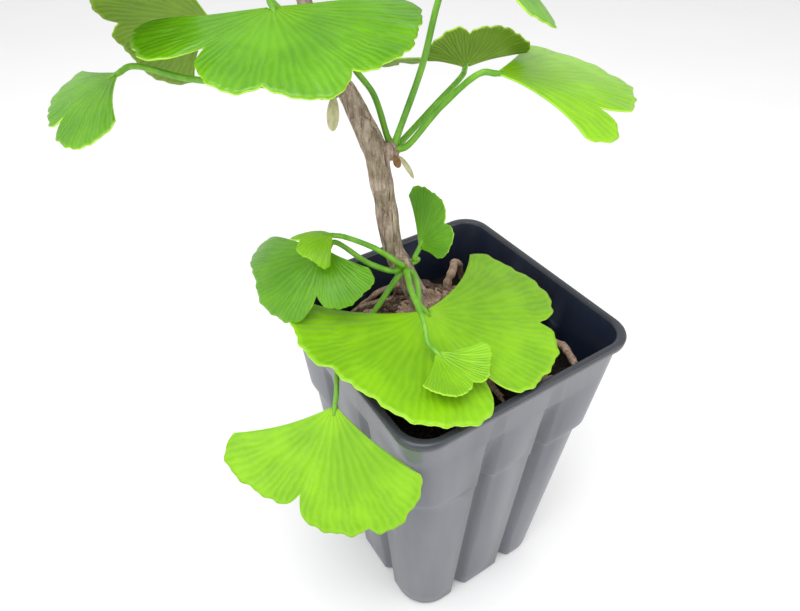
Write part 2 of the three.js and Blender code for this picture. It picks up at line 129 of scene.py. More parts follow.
class Finish:
    """A material with its shader, and a short way of adding nodes to it."""

    def __init__(self, name, roughness, specular=0.5, **sockets):
        self.material = bpy.data.materials.new(name)
        self.material.use_nodes = True
        self.tree = self.material.node_tree
        self.shader = self.tree.nodes["Principled BSDF"]
        self.shader.inputs["Roughness"].default_value = roughness
        self.shader.inputs["Specular IOR Level"].default_value = specular
        for socket, value in sockets.items():
            self.shader.inputs[socket.replace("_", " ")].default_value = value
        self.coordinates = self.tree.nodes.new("ShaderNodeTexCoord").outputs["Object"]

    def node(self, kind, settings=(), **inputs):
        made = self.tree.nodes.new("ShaderNode" + kind)
        for key, value in dict(settings).items():
            setattr(made, key, value)
        for socket, value in inputs.items():
            key = int(socket[1:]) if socket[1:].isdigit() else socket.replace("_", " ")
            target = made.inputs[key]
            if isinstance(value, bpy.types.NodeSocket):
                self.tree.links.new(value, target)
            else:
                target.default_value = value
        return made

    def noise(self, scale, detail=4.0, roughness=0.55, stretch=None, distortion=0.0):
        where = self.coordinates
        if stretch:
            where = self.node("Mapping", Vector=where, Scale=stretch).outputs[0]
        return self.node(
            "TexNoise", Vector=where, Scale=scale, Detail=detail, Roughness=roughness, Distortion=distortion
        ).outputs[0]

    def ramp(self, value, *stops):
        made = self.node("ValToRGB", _0=value)
        elements = made.color_ramp.elements
        while len(elements) < len(stops):
            elements.new(0.5)
        for element, (at, colour) in zip(elements, stops):
            element.position = at
            element.color = (*colour, 1)
        return made.outputs[0]

    def mix(self, factor, a, b, how="MIX"):
        made = self.node("Mix", {"data_type": "RGBA", "blend_type": how}, _0=factor)
        for socket, value in ((made.inputs[6], a), (made.inputs[7], b)):
            if isinstance(value, bpy.types.NodeSocket):
                self.tree.links.new(value, socket)
            else:
                socket.default_value = (*value, 1)
        return made.outputs[2]

    def math(self, operation, a, b=0.0, c=0.0):
        return self.node("Math", {"operation": operation}, _0=a, _1=b, _2=c).outputs[0]

    def between(self, value, low, high, start=0.0, end=1.0):
        settings = {"interpolation_type": "SMOOTHSTEP"}
        return self.node("MapRange", settings, _0=value, _1=low, _2=high, _3=start, _4=end).outputs[0]

    def colour(self, value):
        self.tree.links.new(value, self.shader.inputs["Base Color"])

    def rough(self, value, low, high):
        self.tree.links.new(self.between(value, 0.0, 1.0, low, high), self.shader.inputs["Roughness"])

    def bump(self, height, distance, strength=1.0, under=None):
        made = self.node("Bump", Strength=strength, Distance=distance, Height=height)
        if under is not None:
            self.tree.links.new(under, made.inputs["Normal"])
        self.tree.links.new(made.outputs[0], self.shader.inputs["Normal"])
        return made.outputs[0]


# %% [markdown]
# The floor is one wide square. Its tone drifts a little, so that it isn't a dead flat white.

# %% Floor
floor_finish = Finish("white_table", 0.7, specular=0.2)
floor_tone = floor_finish.noise(6.0)
floor_finish.colour(floor_finish.ramp(floor_tone, (0.0, (0.86, 0.86, 0.865)), (1.0, (0.9, 0.9, 0.9))))
FLOOR_REACH = 4.0
floor_mesh = bmesh.new()
bmesh.ops.create_grid(floor_mesh, x_segments=1, y_segments=1, size=FLOOR_REACH)
floor_data = bpy.data.meshes.new("floor")
floor_mesh.to_mesh(floor_data)
floor_mesh.free()
floor_data.materials.append(floor_finish.material)
floor = bpy.data.objects.new("floor", floor_data)
bpy.context.scene.collection.objects.link(floor)
print(f"floor {2 * FLOOR_REACH:.0f} m wide")

# %% [markdown]
# ## Turning a bmesh into a piece
#
# Each piece is shaped in a bmesh with its real place in its vertices, so its object stays at the origin.
# The helper writes the mesh, gives it its materials, smooths it, hides the simple solid that it stands
# for, and prints how far its box is from that solid's box. A good piece is within a millimetre or two.

# %% Finish a piece


def piece(bm, name, finishes, replaces=(), smooth=True):
    data = bpy.data.meshes.new(name)
    bm.to_mesh(data)
    bm.free()
    for finish in finishes:
        data.materials.append(finish.material)
    data.polygons.foreach_set("use_smooth", [smooth] * len(data.polygons))
    made = bpy.data.objects.new(name, data)
    bpy.context.scene.collection.objects.link(made)
    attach(made, "root")
    for node in replaces:
        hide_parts(node)
        low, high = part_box(node)
        corners = [v.co for v in data.vertices]
        off = [min(c[i] for c in corners) - low[i] for i in range(3)]
        off += [max(c[i] for c in corners) - high[i] for i in range(3)]
        print(f"{name}: {len(data.polygons)} faces, box off by up to {max(map(abs, off)) / MM:.1f} mm")
    return made


# %% [markdown]
# ## Growing a round stem
#
# Trunks, roots and stalks are all round things that follow a crooked path. One way is a curve with a
# bevel, but then the thickness can't follow wrinkles. Here a circle is extruded ring by ring along a
# smooth curve through a few points, and each new ring is turned and scaled by one matrix. The curve is a
# centripetal spline, which doesn't overshoot where points are close together.

# %% Smooth paths


def on_path(points, t):
    """The point at share t of a centripetal spline through the points."""
    last = len(points) - 1
    at = t * last
    i = min(int(at), last - 1)
    w = at - i
    p1, p2 = points[i], points[i + 1]
    p0 = points[i - 1] if i > 0 else 2 * p1 - p2
    p3 = points[i + 2] if i + 2 <= last else 2 * p2 - p1
    d0, d1, d2 = ((b - a).length ** 0.5 for a, b in ((p0, p1), (p1, p2), (p2, p3)))
    m1 = ((p1 - p0) / d0 - (p2 - p0) / (d0 + d1) + (p2 - p1) / d1) * d1
    m2 = ((p2 - p1) / d1 - (p3 - p1) / (d1 + d2) + (p3 - p2) / d2) * d1
    return p1 + m1 * w + (3 * (p2 - p1) - 2 * m1 - m2) * w * w + (2 * (p1 - p2) + m1 + m2) * w**3


def between(values, t):
    at = t * (len(values) - 1)
    i = min(int(at), len(values) - 2)
    return values[i] + (values[i + 1] - values[i]) * (at - i)


# %% [markdown]
# The stem's rings turn as little as they can from one to the next, so its faces don't twist. A slow noise
# along its length makes it swell and shrink, as wood does.

# %% Grow a stem


def grow(bm, points, radii, sides=12, steps=24, knots=0.0, seed=0.0):
    """Extrudes a circle along a spline, caps both ends, and returns the new vertices."""
    points = [Vector(p) for p in points]
    made = []
    ring = bmesh.ops.create_circle(bm, cap_ends=True, radius=1.0, segments=sides)["verts"]
    edges = list(dict.fromkeys(e for v in ring for e in v.link_edges))
    made += ring
    before = Matrix.Identity(4)
    side = Vector((0.3, 0.8, 0.5))
    for k in range(steps + 1):
        t = k / steps
        here = on_path(points, t)
        ahead = (on_path(points, min(t + 0.01, 1)) - on_path(points, max(t - 0.01, 0))).normalized()
        side = (side - ahead * side.dot(ahead)).normalized()
        swell = 1 + knots * noise.noise(Vector((seed, 9.0 * seed, t * steps * 0.45)))
        scale = Matrix.Scale(between(radii, t) * swell, 4)
        turn = Matrix((side, ahead.cross(side), ahead)).transposed().to_4x4()
        frame_here = Matrix.Translation(here) @ turn @ scale
        if k:
            out = bmesh.ops.extrude_edge_only(bm, edges=edges)["geom"]
            ring = [g for g in out if isinstance(g, bmesh.types.BMVert)]
            edges = [g for g in out if isinstance(g, bmesh.types.BMEdge)]
            made += ring
        bmesh.ops.transform(bm, matrix=frame_here @ before.inverted(), verts=ring)
        before = frame_here
    bmesh.ops.contextual_create(bm, geom=edges)
    return made


# %% [markdown]
# ## The pot's plastic
#
# Nursery pots are blown from grey-black plastic with a satin skin. The outside has faint streaks where
# the plastic flowed down the mould, fine scuffs that are a little rougher, and some dust. The rim is
# painted darker as shade, and the inside is painted almost navy-black as the shade of a hollow that only
# sees the soil. All three are the same plastic, so one function makes them from a few colours.

# %% Plastic


def plastic(name, dark, light, roughness):
    finish = Finish(name, roughness, specular=0.45)
    flow = finish.noise(70.0, detail=3.0, stretch=(1.0, 1.0, 0.12))
    scuff = finish.noise(420.0, detail=6.0, roughness=0.7, stretch=(1.0, 1.0, 0.5), distortion=0.4)
    tone = finish.ramp(flow, (0.25, dark), (0.8, light))
    marks = finish.between(scuff, 0.6, 0.75)
    scuffed = tuple(min(c * 1.5 + 0.02, 1) for c in light)
    finish.colour(finish.mix(finish.math("MULTIPLY", marks, 0.25), tone, scuffed))
    dull = finish.math("MULTIPLY_ADD", marks, 0.5, finish.math("MULTIPLY", flow, 0.5))
    finish.rough(dull, roughness - 0.06, roughness + 0.14)
    coarse = finish.bump(finish.noise(90.0, detail=2.0, stretch=(1.0, 1.0, 0.3)), 0.0006, 0.25)
    finish.bump(finish.noise(2600.0, detail=2.0), 0.00004, 0.5, under=coarse)
    return finish


pot_outside = plastic("pot_plastic_outside", (0.085, 0.091, 0.11), (0.16, 0.168, 0.19), 0.33)
# The rim and the inside are the same plastic in darker colours: these colours are painted shade.
pot_rim_painted_shade = plastic("pot_plastic_rim_painted_shade", (0.028, 0.031, 0.04), (0.045, 0.05, 0.06), 0.3)
pot_inside_painted_shade = plastic("pot_plastic_inside_painted_shade", (0.008, 0.013, 0.03), (0.016, 0.024, 0.05), 0.42)

# %% [markdown]
# ## The pot
#
# The pot is one thin moulding: a square with round corners, flared towards the top, with two flutes sunk
# in each wall that stiffen it, a shoulder where stacked pots rest on each other, and a rolled rim. It
# could be cut from a block, but its outline changes all the way up, so it is lofted instead. A circle is
# bent into the outline at each height and extruded to the next one, up the outside, over the rim and
# down the inside.

# %% Pot sizes
POT_TOP, POT_HEIGHT, POT_FOOT = 100 * MM, 144 * MM, 74.5 * MM
WALL, FLOOR_THICKNESS = 1.5 * MM, 3 * MM
RIM_PROUD, RIM_HEIGHT = 1.6 * MM, 3.5 * MM
SHOULDER, SHOULDER_STEP = 96 * MM, 0.6 * MM
CORNER_TOP, CORNER_BELOW, CORNER_FOOT = 11 * MM, 16 * MM, 14 * MM
FLUTE_TOP, FLUTE_WIDTH, FLUTE_DEPTH, FLUTE_OFFSET = 126 * MM, 8.6 * MM, 4.8 * MM, 13.3 * MM
FLUTE_FADE = 24 * MM
DRAIN_RADIUS, DRAIN_OFFSET = 6 * MM, 19 * MM
ARC_STEPS, FLUTE_STEPS = 10, 12
SOIL_FOOT = 100 * MM  # anything level below this is the pot's floor
print(f"pot {POT_TOP / MM:.0f} mm wide and {POT_HEIGHT / MM:.0f} mm tall")

# %% [markdown]
# Every level of the pot is the same outline with other numbers: half its width, its corner radius and the
# depth of its flutes. Writing it once keeps the outside, the inside and the soil in step.

# %% Pot outline


def blend(a, b, t):
    return a + (b - a) * t


def ease(t):
    t = min(max(t, 0.0), 1.0)
    return t * t * (3 - 2 * t)


def wall_at(z):
    """Half the pot's outside width, its corner radius and its flutes' depth at a height."""
    t = z / POT_HEIGHT
    below = 1 - ease((z - SHOULDER) / (2 * MM))
    half = blend(POT_FOOT / 2, POT_TOP / 2 - RIM_PROUD, t) - SHOULDER_STEP * below
    corner = blend(CORNER_TOP, blend(CORNER_FOOT, CORNER_BELOW, t), below)
    fade = min(max((FLUTE_TOP - z) / FLUTE_FADE, 0.0), 1.0)
    return half, corner, FLUTE_DEPTH * math.sqrt(fade)


def pot_outline(half, corner, flute):
    """Points round the pot: each side is a corner's arc and then its two flutes."""
    points = []
    straight = half - corner
    for quarter in range(4):
        turn = Matrix.Rotation(quarter * math.pi / 2, 2)
        for k in range(ARC_STEPS + 1):
            a = math.radians(-90 + 90 * k / ARC_STEPS)
            points.append(turn @ Vector((straight + corner * math.cos(a), -straight + corner * math.sin(a))))
        for centre in (-FLUTE_OFFSET, FLUTE_OFFSET):
            for k in range(FLUTE_STEPS + 1):
                s = 2 * k / FLUTE_STEPS - 1
                depth = flute * (0.5 + 0.5 * math.cos(s * math.pi)) ** 0.7
                points.append(turn @ Vector((half - depth, centre + s * FLUTE_WIDTH / 2)))
    return points


# %% [markdown]
# The loft starts from a circle with as many points as the outline. Each level is an extrusion of the ring
# below it, so the walls are clean strips of quads, and both ends are closed with one face.

# %% Loft rings


def next_ring(bm, ring):
    """Extrudes a closed ring of vertices and returns the new ring in the same order."""
    edges = [bm.edges.get((a, b)) for a, b in zip(ring, ring[1:] + ring[:1])]
    out = set(bmesh.ops.extrude_edge_only(bm, edges=edges)["geom"])
    return [next(e.other_vert(v) for e in v.link_edges if e.other_vert(v) in out) for v in ring]


def loft(bm, rows):
    """Extrudes an outline through rows of (height, inset, share of size, stand out)."""
    ring = None
    rings = []
    for z, inset, share, proud in rows:
        half, corner, flute = wall_at(z)
        shape = pot_outline(half - inset + proud, max(corner - inset, 2 * MM), 0 if proud else flute)
        if ring is None:
            ring = bmesh.ops.create_circle(bm, cap_ends=False, radius=1.0, segments=len(shape))["verts"]
        else:
            ring = next_ring(bm, ring)
        for vertex, point in zip(ring, shape):
            vertex.co = (point.x * share, point.y * share, z)
        rings.append(ring)
    for end in (rings[0], rings[-1]):
        bmesh.ops.contextual_create(bm, geom=end)
    return rings


# %% Make the pot
lip = POT_HEIGHT - RIM_HEIGHT
body_levels = [10 * MM, 40 * MM, 70 * MM, 92 * MM, SHOULDER]
body_levels += [SHOULDER + k * 0.5 * MM for k in range(1, 5)]
body_levels += [102 * MM] + [z * MM for z in range(104, 126, 2)] + [125 * MM, 125.7 * MM, FLUTE_TOP]
outside = [(0.0, 2.4 * MM, 1, 0), (0.25 * MM, 1.4 * MM, 1, 0)]
outside += [(0.9 * MM, 0.6 * MM, 1, 0), (2.4 * MM, 0, 1, 0)]
outside += [(z, 0, 1, 0) for z in body_levels]
outside += [(lip - 1.4 * MM, 0, 1, 0), (lip - 0.5 * MM, 0, 1, 0.3 * MM), (lip, 0, 1, 1.2 * MM)]
outside += [(lip + 0.7 * MM, 0, 1, RIM_PROUD), (POT_HEIGHT - 1.0 * MM, 0, 1, RIM_PROUD)]
outside += [(POT_HEIGHT - 0.3 * MM, 0, 1, RIM_PROUD - 0.3 * MM), (POT_HEIGHT, 0, 1, RIM_PROUD - 0.9 * MM)]
inside = [(POT_HEIGHT, WALL - 0.9 * MM, 1, 0), (POT_HEIGHT - 0.3 * MM, WALL - 0.3 * MM, 1, 0)]
inside += [(POT_HEIGHT - 1.0 * MM, WALL, 1, 0)] + [(z, WALL, 1, 0) for z in reversed(body_levels)]
inside += [(FLOOR_THICKNESS + 2 * MM, WALL, 1, 0), (FLOOR_THICKNESS, WALL + 1.5 * MM, 1, 0)]
bm = bmesh.new()
rings = loft(bm, outside + inside)
bmesh.ops.recalc_face_normals(bm, faces=bm.faces[:])
rim_low = lip - 0.8 * MM
# The top band takes the rim plastic, and faces towards the axis and the inside floor take the inside plastic;
# both are painted darker as shade.
for face in bm.faces:
    centre = face.calc_center_median()
    faces_axis = (face.normal.x * centre.x + face.normal.y * centre.y) < 0
    floor_inside = centre.z < SOIL_FOOT and face.normal.z > 0.9
    face.material_index = 1 if centre.z > rim_low else 2 if faces_axis or floor_inside else 0
pot = piece(bm, "moulded_pot", [pot_outside, pot_rim_painted_shade, pot_inside_painted_shade], ["nursery_pot"])

# %% [markdown]
# Water leaves by four holes in the floor. Round holes through a flat floor are easiest to cut with a
# Boolean modifier, applied at once so that the finished mesh has real holes.

# %% Drain holes


def apply_modifiers(target):
    """Bakes an object's modifiers into its own mesh."""
    evaluated = target.evaluated_get(bpy.context.evaluated_depsgraph_get())
    baked = bpy.data.meshes.new_from_object(evaluated)
    target.modifiers.clear()
    target.data = baked


bm = bmesh.new()
for x in (-DRAIN_OFFSET, DRAIN_OFFSET):
    for y in (-DRAIN_OFFSET, DRAIN_OFFSET):
        bmesh.ops.create_cone(
            bm, cap_ends=True, segments=32, radius1=DRAIN_RADIUS, radius2=DRAIN_RADIUS,
            depth=4 * FLOOR_THICKNESS, matrix=Matrix.Translation((x, y, 0)),
        )
cutter_data = bpy.data.meshes.new("drain_cutter")
bm.to_mesh(cutter_data)
bm.free()
cutter = bpy.data.objects.new("drain_cutter", cutter_data)
bpy.context.scene.collection.objects.link(cutter)
cut = pot.modifiers.new("drain", "BOOLEAN")
cut.operation = "DIFFERENCE"
cut.solver = "EXACT"
cut.object = cutter
apply_modifiers(pot)
bpy.data.objects.remove(cutter)
print("pot with holes:", len(pot.data.polygons), "faces")

# %% [markdown]
# ## Soil
#
# Potting mix is peat and bark, dark when moist, with a lumpy top and loose crumbs. Its colours are set
# near black: partly the mix's own dark colour and partly painted shade, as the soil lies in shade below
# the pot's rim. The body of the soil is lofted like the pot, a little smaller, and its top rings are
# roughened with noise. The
# crumbs are one small lump copied hundreds of times, so the lump has only twenty faces.

# %% Soil finish
soil_finish = Finish("potting_mix_with_painted_shade", 0.9, specular=0.25)
grit = soil_finish.noise(900.0, detail=8.0, roughness=0.7)
# These near-black tones are the peat's own dark colour and painted shade from the pot's walls.
peat, crumb, fleck = (0.004, 0.003, 0.0025), (0.016, 0.011, 0.008), (0.06, 0.04, 0.028)
soil_finish.colour(soil_finish.ramp(grit, (0.3, peat), (0.55, crumb), (0.8, fleck)))
soil_finish.rough(grit, 0.75, 1.0)
soil_finish.bump(grit, 0.0012, 0.9)
chip_finish = Finish("bark_crumbs", 0.85, specular=0.25)
chip_tone = chip_finish.noise(260.0, detail=5.0)
wet, damp, dry = (0.006, 0.0045, 0.0035), (0.035, 0.022, 0.014), (0.11, 0.07, 0.045)
chip_finish.colour(chip_finish.ramp(chip_tone, (0.35, wet), (0.6, damp), (0.75, dry)))
chip_finish.bump(chip_finish.noise(1500.0, detail=5.0), 0.0004, 0.8)

# %% Soil body
SOIL_TOP, SOIL_BUMP, GAP = 119 * MM, 1.6 * MM, 0.3 * MM
inset = WALL + GAP
rows = [(FLOOR_THICKNESS + GAP, inset + 1.5 * MM, 1, 0), (FLOOR_THICKNESS + 2.3 * MM, inset, 1, 0)]
rows += [(z, inset, 1, 0) for z in body_levels if z < SOIL_TOP - 2 * MM]
rows += [(SOIL_TOP - 0.6 * MM, inset, 1, 0)]
SOIL_RINGS = 30
rows += [(SOIL_TOP, inset, 1 - (k + 0.5) / SOIL_RINGS, 0) for k in range(SOIL_RINGS)]
bm = bmesh.new()
rings = loft(bm, rows)


def soil_height(x, y):
    """Lumps on the soil's top, lower towards the wall."""
    reach = math.hypot(x, y) / (POT_TOP / 2)
    lumps = noise.fractal(Vector((x * 90, y * 90, 0.3)), 0.8, 2.2, 5)
    return SOIL_TOP + SOIL_BUMP * (0.6 - reach * reach) + 1.6 * MM * lumps


for ring in rings[-SOIL_RINGS:]:
    for vertex in ring:
        vertex.co.z = soil_height(vertex.co.x, vertex.co.y)
bmesh.ops.recalc_face_normals(bm, faces=bm.faces[:])
soil = piece(bm, "soil_body", [soil_finish], ["potting_soil"])

# %% [markdown]
# The crumbs are bits of bark that were sieved into the mix. They lie flat on the lumps, and a seeded dice
# gives each one its place, size and turn.

# %% Soil crumbs
CRUMBS = 900
dice = random.Random(7)
bm = bmesh.new()
for _ in range(CRUMBS):
    x, y = dice.uniform(-42, 42) * MM, dice.uniform(-42, 42) * MM
    size = dice.uniform(0.5, 1.7) * MM
    shape = Matrix.Diagonal((1, dice.uniform(0.5, 1), dice.uniform(0.3, 0.8), 1))
    turn = Matrix.Rotation(dice.uniform(0, 6.3), 4, "Z") @ Matrix.Rotation(dice.uniform(-0.5, 0.5), 4, "X")
    place = Matrix.Translation((x, y, soil_height(x, y) + 0.1 * size))
    bmesh.ops.create_icosphere(bm, subdivisions=1, radius=size, matrix=place @ turn @ shape)
piece(bm, "soil_crumbs", [chip_finish], smooth=False)

# %% [markdown]
# ## Bark
#
# A ginkgo's young bark is grey-brown and splits lengthways into shallow cracks, with pale flecks and a
# green film of algae on one side. The big cracks are cut into the mesh, because they show on the
# outline. The finish then adds the fine ones. Noise that is stretched along Z makes lines that run up
# the trunk.

# %% Bark finish


def bark(name, crack, body, fleck, moss_share):
    finish = Finish(name, 0.85, specular=0.25)
    long_grain = finish.noise(900.0, detail=8.0, roughness=0.65, stretch=(1.0, 1.0, 0.16), distortion=0.5)
    patches = finish.noise(220.0, detail=4.0)
    tone = finish.ramp(long_grain, (0.36, crack), (0.5, body), (0.68, fleck))
    tone = finish.mix(finish.between(patches, 0.45, 0.62, 0.0, 0.55), tone, tuple(c * 0.6 for c in body))
    specks = finish.between(finish.noise(1500.0, detail=3.0), 0.62, 0.7)
    tone = finish.mix(finish.math("MULTIPLY", specks, 0.5), tone, tuple(min(c * 1.35, 1) for c in fleck))
    film = finish.between(finish.noise(120.0, detail=5.0), 0.46, 0.66, 0.0, moss_share)
    finish.colour(finish.mix(film, tone, (0.13, 0.15, 0.045)))
    finish.rough(long_grain, 0.7, 0.95)
    finish.bump(long_grain, 0.0009, 0.8)
    return finish


trunk_finish = bark("trunk_bark", (0.08, 0.048, 0.036), (0.38, 0.28, 0.22), (0.62, 0.52, 0.44), 0.25)
root_finish = bark("root_bark", (0.15, 0.09, 0.06), (0.5, 0.34, 0.25), (0.68, 0.52, 0.4), 0.04)
# Old roots are darker than young ones.
dark_root_finish = bark("old_root_bark", (0.035, 0.022, 0.016), (0.13, 0.085, 0.06), (0.27, 0.19, 0.14), 0.05)

# %% [markdown]
# ## Trunk and raised roots
#
# The trunk stands on roots that have been lifted out of the soil, so trunk, roots and the woody spurs
# are one grown thing. Each is grown as its own stem. A voxel Remesh then melts them together, which also
# rounds the joints as bark does. After that every vertex is pushed along its normal by ridged noise that
# is stretched up the trunk.

# %% Trunk and roots
TRUNK_PATH = [
    (0, 2, 121), (-6, 6.5, 142), (-13, 10.5, 160), (-17, 13, 173), (-19.5, 14.5, 195),
    (-21.5, 16, 210), (-28, 20, 228), (-34, 24, 241), (-37, 26, 255), (-38.5, 28, 268),
]
TRUNK_RADII = [5.4, 4.6, 3.9, 3.8, 3.9, 4.2, 3.2, 2.8, 2.3, 1.8]
SPURS = {
    "low": ((-15, 8, 166), 3.2),
    "mid": ((-17, 12, 210), 2.8),
    "upper": ((-33, 18.5, 232), 2.8),
    "top": ((-38.5, 28, 268), 2.6),
}
TRUNK_ROOTS = [
    ([(-4, 5, 146), (-11, -1, 138), (-17, -9, 128), (-20, -14, 116)], [3.4, 3, 2.4, 1.8]),
    ([(-5, 4, 148), (-3, -5, 137), (1, -14, 127), (3, -20, 116)], [3.2, 2.8, 2.3, 1.8]),
    ([(-3, 6, 146), (6, 3, 140), (14, -2, 130), (20, -5, 116)], [3.4, 2.8, 2.3, 1.7]),
    ([(-4, 7, 147), (0, 15, 140), (4, 22, 130), (7, 27, 116)], [3.2, 2.7, 2.2, 1.7]),
    ([(-6, 7, 146), (-14, 11, 138), (-22, 16, 128), (-27, 20, 116)], [3.0, 2.5, 2.1, 1.6]),
]


def in_mm(points):
    return [Vector(p) * MM for p in points]


def wander(points, amount, seed):
    """Adds points between the given ones and shifts them, so that a path looks grown."""
    out = []
    for k in range(4 * (len(points) - 1) + 1):
        t = k / (4 * (len(points) - 1))
        shift = noise.noise_vector(Vector((seed * 3.7, t * 6.0, seed))) * amount
        out.append(on_path(points, t) + shift * math.sin(math.pi * t))
    return out


bm = bmesh.new()
grow(bm, in_mm(TRUNK_PATH), [r * MM for r in TRUNK_RADII], sides=20, steps=60, knots=0.12, seed=2.0)
for k, (points, radii) in enumerate(TRUNK_ROOTS):
    path = wander(in_mm(points), 1.6 * MM, k + 1)
    grow(bm, path, [r * MM for r in radii], sides=12, steps=34, knots=0.3, seed=k + 5.0)
for at, radius in SPURS.values():
    for k in range(3):
        ball = Matrix.Translation(Vector(at) * MM + Vector((0, 0, (k - 1) * 0.5 * radius * MM)))
        size = radius * MM * (0.92 - 0.1 * abs(k - 1))
        bmesh.ops.create_uvsphere(bm, u_segments=14, v_segments=10, radius=size, matrix=ball)
bmesh.ops.recalc_face_normals(bm, faces=bm.faces[:])
trunk = piece(bm, "trunk_and_roots", [trunk_finish, root_finish], ["trunk"])
melt = trunk.modifiers.new("melt", "REMESH")
melt.mode = "VOXEL"
melt.voxel_size = 0.5 * MM
apply_modifiers(trunk)

# %% [markdown]
# The remeshed trunk is smooth, so the cracks come next. Ridged noise has sharp valleys, and stretching it
# along Z turns them into cracks that run up the trunk. Below the root line the faces take the root's bark.

# %% Cracked bark
bm = bmesh.new()
bm.from_mesh(trunk.data)
bmesh.ops.smooth_vert(bm, verts=bm.verts[:], factor=0.5, use_axis_x=True, use_axis_y=True, use_axis_z=True)
bm.normal_update()
ROOT_LINE = 150 * MM
for vertex in bm.verts:
    x, y, z = vertex.co
    ridges = noise.ridged_multi_fractal(Vector((x * 330, y * 330, z * 55)), 0.9, 2.1, 4, 0.8, 1.6)
    lumps = noise.noise(Vector((x * 160, y * 160, z * 90)))
    vertex.co += vertex.normal * (0.28 * MM * (ridges - 1.2) * 0.5 + 0.5 * MM * lumps)
for face in bm.faces:
    face.material_index = 1 if face.calc_center_median().z < ROOT_LINE else 0
    face.smooth = True
for finish in (trunk_finish, root_finish):
    if finish.material.name not in trunk.data.materials:
        trunk.data.materials.append(finish.material)
bm.to_mesh(trunk.data)
bm.free()
print("trunk:", len(trunk.data.polygons), "faces")

# %% [markdown]
# ## Loose roots
#
# Thin roots loop over the soil and dive back into it. The large loops stand where the simple model has
# them. Many finer ones fill the foot of the trunk: each starts under it, wanders outwards over the soil
# and ends below it. Seeded dice draw them, so every run gives the same tangle.

# %% Large loops
LOOSE_ROOTS = {
    "root_loop_right": (
        [(26, -12, 117), (33, -17, 124), (38, -26, 126), (37, -35, 123), (31, -38, 117)], 1.5,
    ),
    "root_right_low": ([(14, -30, 117), (21, -34, 123), (27, -38, 124), (33, -41, 117)], 1.3),
    "root_back_tall": ([(14, 22, 117), (19, 26, 130), (26, 31, 136), (33, 36, 130), (38, 39, 117)], 1.6),
    "root_back_cross": ([(28, 8, 117), (34, 14, 127), (39, 22, 130), (40, 30, 126), (38, 34, 117)], 1.4),
    "root_back_low": ([(16, 8, 118), (22, 14, 126), (24, 22, 128), (17, 33, 122), (11, 38, 117)], 1.4),
    "root_left_fork": ([(-40, 30, 117), (-36, 22, 127), (-30, 12, 126), (-26, 4, 117)], 1.5),
    "root_left_back": ([(-24, 38, 117), (-18, 33, 126), (-12, 30, 127), (-6, 33, 117)], 1.4),
    "root_front": ([(-34, -8, 117), (-31, -18, 124), (-24, -26, 124), (-16, -30, 117)], 1.4),
}
for k, (node, (points, r)) in enumerate(LOOSE_ROOTS.items()):
    bm = bmesh.new()
    radii = [r * s * MM for s in (0.9, 1.15, 1.0, 0.8)]
    path = wander(in_mm(points), 1.0 * MM, k + 11)
    grow(bm, path, radii, sides=12, steps=44, knots=0.35, seed=k + 20.0)
    bmesh.ops.recalc_face_normals(bm, faces=bm.faces[:])
    piece(bm, node.replace("root", "loop_root", 1), [root_finish], [node])

# %% [markdown]
# Fine roots are many and all different, so a rule draws them. They are heaped away from the front, where
# the pot's corner has caught them.

# %% Fine roots
FINE_ROOTS = 190
AWAY = 50  # the bearing towards which the roots are heaped
ROOT_REACH = 41  # mm from the middle, just clear of the pot's wall
ROOT_END = 116.5  # mm, a little below the soil's top


def fine_root(bm, dice, seed):
    bearing = dice.gauss(AWAY, 80)
    reach = dice.uniform(14, 40)
    start = Vector((-4, 5, 0)) + direction(bearing, 0) * dice.uniform(2, 9)
    turn = dice.uniform(-70, 70)
    high = dice.uniform(123, 138 - 0.2 * reach) + 9 * math.cos(math.radians(bearing - AWAY))
    points = [Vector((start.x, start.y, high - 3))]
    for share in (0.3, 0.55, 0.8, 1.0):
        flat = Vector((-4, 5, 0)) + direction(bearing + turn * share, 0) * (6 + reach * share)
        z = high - (high - 117) * share**2.6 + dice.uniform(-2, 3) * (1 - share)
        x, y = (max(min(c, ROOT_REACH), -ROOT_REACH) for c in flat.xy)
        points.append(Vector((x, y, z if share < 1 else ROOT_END)))
    r = dice.uniform(0.5, 1.4) * MM
    path = wander(in_mm(points), 2.6 * MM, seed)
    grow(bm, path, [r, r * 1.1, r * 0.9, r * 0.6], sides=7, steps=26, knots=0.4, seed=seed)


dice = random.Random(31)
for name, finish, share in (("fine_roots_tan", root_finish, 0.6), ("fine_roots_dark", dark_root_finish, 0.4)):
    bm = bmesh.new()
    for k in range(int(FINE_ROOTS * share)):
        fine_root(bm, dice, 40.0 + k + 100 * share)
    bmesh.ops.recalc_face_normals(bm, faces=bm.faces[:])
    piece(bm, name, [finish])

# %% [markdown]
# ## Leaf finishes
#
# A ginkgo leaf has no midrib. Fine veins fan out from the stalk and fork again and again, so that they
# stay equally close all the way to the margin. Each blade carries a UV map whose u is the angle round the
# fan and whose v runs from stalk to margin. Sine waves along u make the veins, and their number doubles
# twice on the way out. The upper side is a waxy yellow-green, the underside is paler and dull, and the
# thin margin is painted brighter: painted light, standing in for light that shines through it.

# %% Leaf finishes
FULL_TURN = 2 * math.pi
VEIN_STEP = 0.021


def vein_lines(finish):
    """Lines along the blade that double in number at a third and at two thirds of its length."""
    uv = finish.node("SeparateXYZ", _0=finish.node("UVMap", {"uv_map": "blade"}).outputs[0])
    waver = finish.math("MULTIPLY_ADD", finish.noise(120.0, detail=3.0), 0.02, uv.outputs[0])
    turns = [finish.math("MULTIPLY", waver, FULL_TURN * n / VEIN_STEP) for n in (0.5, 1.0, 2.0)]
    lines = [finish.math("SINE", turn) for turn in turns]
    out = uv.outputs[1]
    first = finish.node("Mix", _0=finish.between(out, 0.25, 0.42), _2=lines[0], _3=lines[1]).outputs[0]
    both = finish.node("Mix", _0=finish.between(out, 0.58, 0.75), _2=first, _3=lines[2]).outputs[0]
    return finish.math("MULTIPLY_ADD", both, 0.5, 0.5), out


